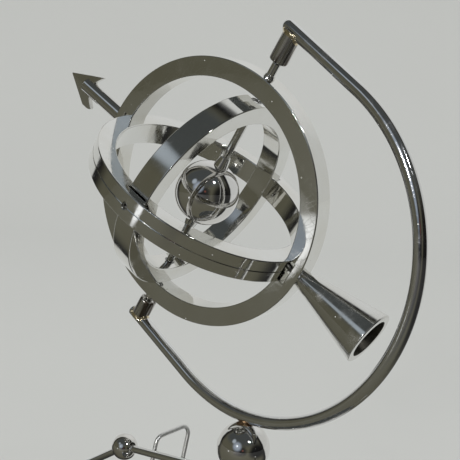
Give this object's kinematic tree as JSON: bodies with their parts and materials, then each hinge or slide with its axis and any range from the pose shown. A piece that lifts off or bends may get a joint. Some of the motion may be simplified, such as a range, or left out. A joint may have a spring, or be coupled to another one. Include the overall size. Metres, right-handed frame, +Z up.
{
  "type": "gyroscope on stand",
  "caption": "Armillary desk gyroscope: ring cage with arrow and cone turning in a leaning C-shaped yoke, on a swivelling ball-topped stand.",
  "frame": {"origin": "middle of the pad's underside, on the table", "axes": "+Z up; +X from the swivel axis towards the bow of the yoke; +Y away from the viewer"},
  "size_m": [0.2032, 0.12, 0.2138],
  "materials": {
    "polished_foot": "mirror",
    "polished_stand": "mirror",
    "polished_balls": "mirror",
    "polished_bars": "mirror",
    "polished_rings": "mirror",
    "polished_fittings": "mirror",
    "stop_wire": "bright drawn wire",
    "steel_hardware": "satin",
    "brass_washer": "satin",
    "braze": "dull, slightly tinted",
    "foot_pad": "matt"
  },
  "bodies": {
    "stand": {"base_disc": "polished_foot", "base_pad": "foot_pad", "column": "polished_stand", "column_screw": "steel_hardware", "spindle": "steel_hardware", "thrust_washer": "brass_washer", "wire_stop": "stop_wire"},
    "head": {"hub_collar": "polished_stand", "pedestal_ball": "polished_balls", "bow_bar": "polished_bars", "bow_ball_left": "polished_balls", "bow_ball_right": "polished_balls", "bow_end_left": "polished_balls", "bow_end_right": "polished_balls", "yoke_rod": "polished_bars", "yoke_braze": "braze", "upper_bushing": "polished_fittings", "lower_bushing": "polished_fittings"},
    "cage": {"outer_ring": "polished_rings", "middle_ring": "polished_rings", "inner_ring": "polished_rings", "ring_screws": "steel_hardware", "arrow_shaft": "polished_fittings", "arrow_head": "polished_fittings", "tail_cone": "polished_fittings", "cone_stud": "steel_hardware", "upper_pivot_pin": "polished_fittings", "lower_pivot_pin": "polished_fittings", "upper_pin_collar": "polished_fittings", "lower_pin_collar": "polished_fittings", "axle_bushes": "steel_hardware"},
    "rotor": {"central_ball": "polished_balls", "ball_axle": "polished_fittings", "axle_collars": "polished_fittings"}
  },
  "joints": [
    {"name": "head_swivel", "type": "hinge", "parent": "stand", "child": "head", "pos_m": [0, 0, 0.034], "axis": [0, 0, 1], "range_deg": [0, 150]},
    {"name": "cage_spin", "type": "hinge", "parent": "head", "child": "cage", "pos_m": [-0.02731, 0, 0.1513], "axis": [0.5314, 0, 0.8471], "continuous": true},
    {"name": "rotor_spin", "type": "hinge", "parent": "cage", "child": "rotor", "pos_m": [-0.02731, 0, 0.1513], "axis": [0.5314, 0, 0.8471], "continuous": true}
  ]
}
